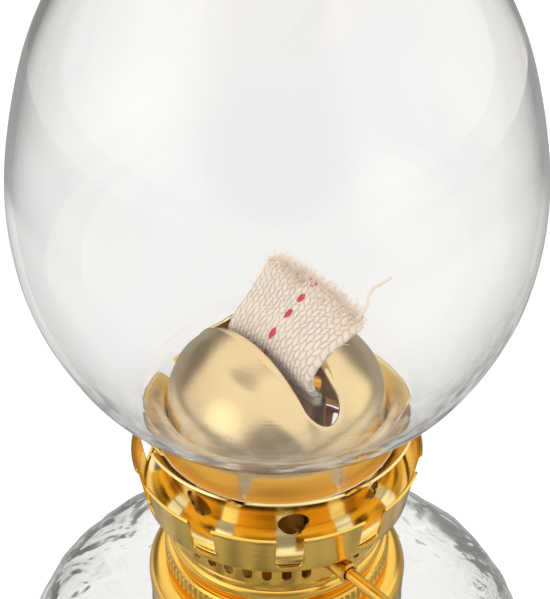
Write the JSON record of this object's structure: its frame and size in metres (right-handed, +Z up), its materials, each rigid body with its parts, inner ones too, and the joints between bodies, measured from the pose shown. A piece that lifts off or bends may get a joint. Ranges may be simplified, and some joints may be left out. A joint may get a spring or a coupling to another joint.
{
  "type": "table oil lamp with flat wick burner and glass chimney",
  "caption": "Oil lamp: squat pressed glass font, thin brass flat wick burner with wick winder and petal crown, and a tall egg shaped glass chimney.",
  "frame": {"origin": "on the table under the middle of the font, at the bottom centre of the bounding box", "axes": "+Z up the lamp's axis through font, burner and chimney; the side seen in the reference view faces -Y, and the winder's knob points to +X -Y"},
  "size_m": [0.141, 0.141, 0.3436],
  "materials": {
    "font_glass": "gloss",
    "chimney_glass": "gloss",
    "polished_brass": "polished",
    "satin_brass": "satin",
    "wick_cotton": "matte",
    "collar_plaster": "matte"
  },
  "bodies": {
    "font_body": {"font": "font_glass", "font_floor": "font_glass", "font_shoulder": "font_glass", "font_neck": "font_glass", "font_collar": "polished_brass", "collar_cement": "collar_plaster"},
    "burner": {"screw_ring": "polished_brass", "base_plate": "polished_brass", "tube_flange": "polished_brass", "air_basket": "polished_brass", "gallery_band": "polished_brass", "crown": "polished_brass", "draft_deflector": "satin_brass", "wick_tube": "polished_brass", "vent_tube": "polished_brass", "wheel_cage": "polished_brass", "cage_rivet_1": "polished_brass", "cage_rivet_2": "polished_brass", "spindle_sleeve": "polished_brass"},
    "winder": {"spindle": "polished_brass", "spur_wheel_1": "polished_brass", "spur_wheel_2": "polished_brass", "spur_wheel_3": "polished_brass", "spur_wheel_4": "polished_brass", "spindle_washer": "polished_brass", "wick_knob": "polished_brass", "knob_cap": "polished_brass", "knob_hub": "polished_brass"},
    "wick_strip": {"wick": "wick_cotton", "wick_tip": "wick_cotton"},
    "chimney_glass": {"chimney": "chimney_glass"}
  },
  "joints": [
    {"name": "burner_lift", "type": "slide", "parent": "font_body", "child": "burner", "axis": [0, 0, 1], "range_m": [0, 0.13]},
    {"name": "chimney_lift", "type": "slide", "parent": "burner", "child": "chimney_glass", "axis": [0, 0, 1], "range_m": [0, 0.07]},
    {"name": "knob_turn", "type": "hinge", "parent": "burner", "child": "winder", "pos_m": [-0.0046, -0.00386, 0.1251], "axis": [0.6428, -0.766, 0], "range_deg": [-300, 0]},
    {"name": "wick_slide", "type": "slide", "parent": "burner", "child": "wick_strip", "axis": [0, 0, 1], "range_m": [-0.022, 0], "deforming": ["wick_tip"]}
  ],
  "couplings": [
    {"joint": "wick_slide", "follows": "knob_turn", "m_per_rad": 0.0042}
  ]
}
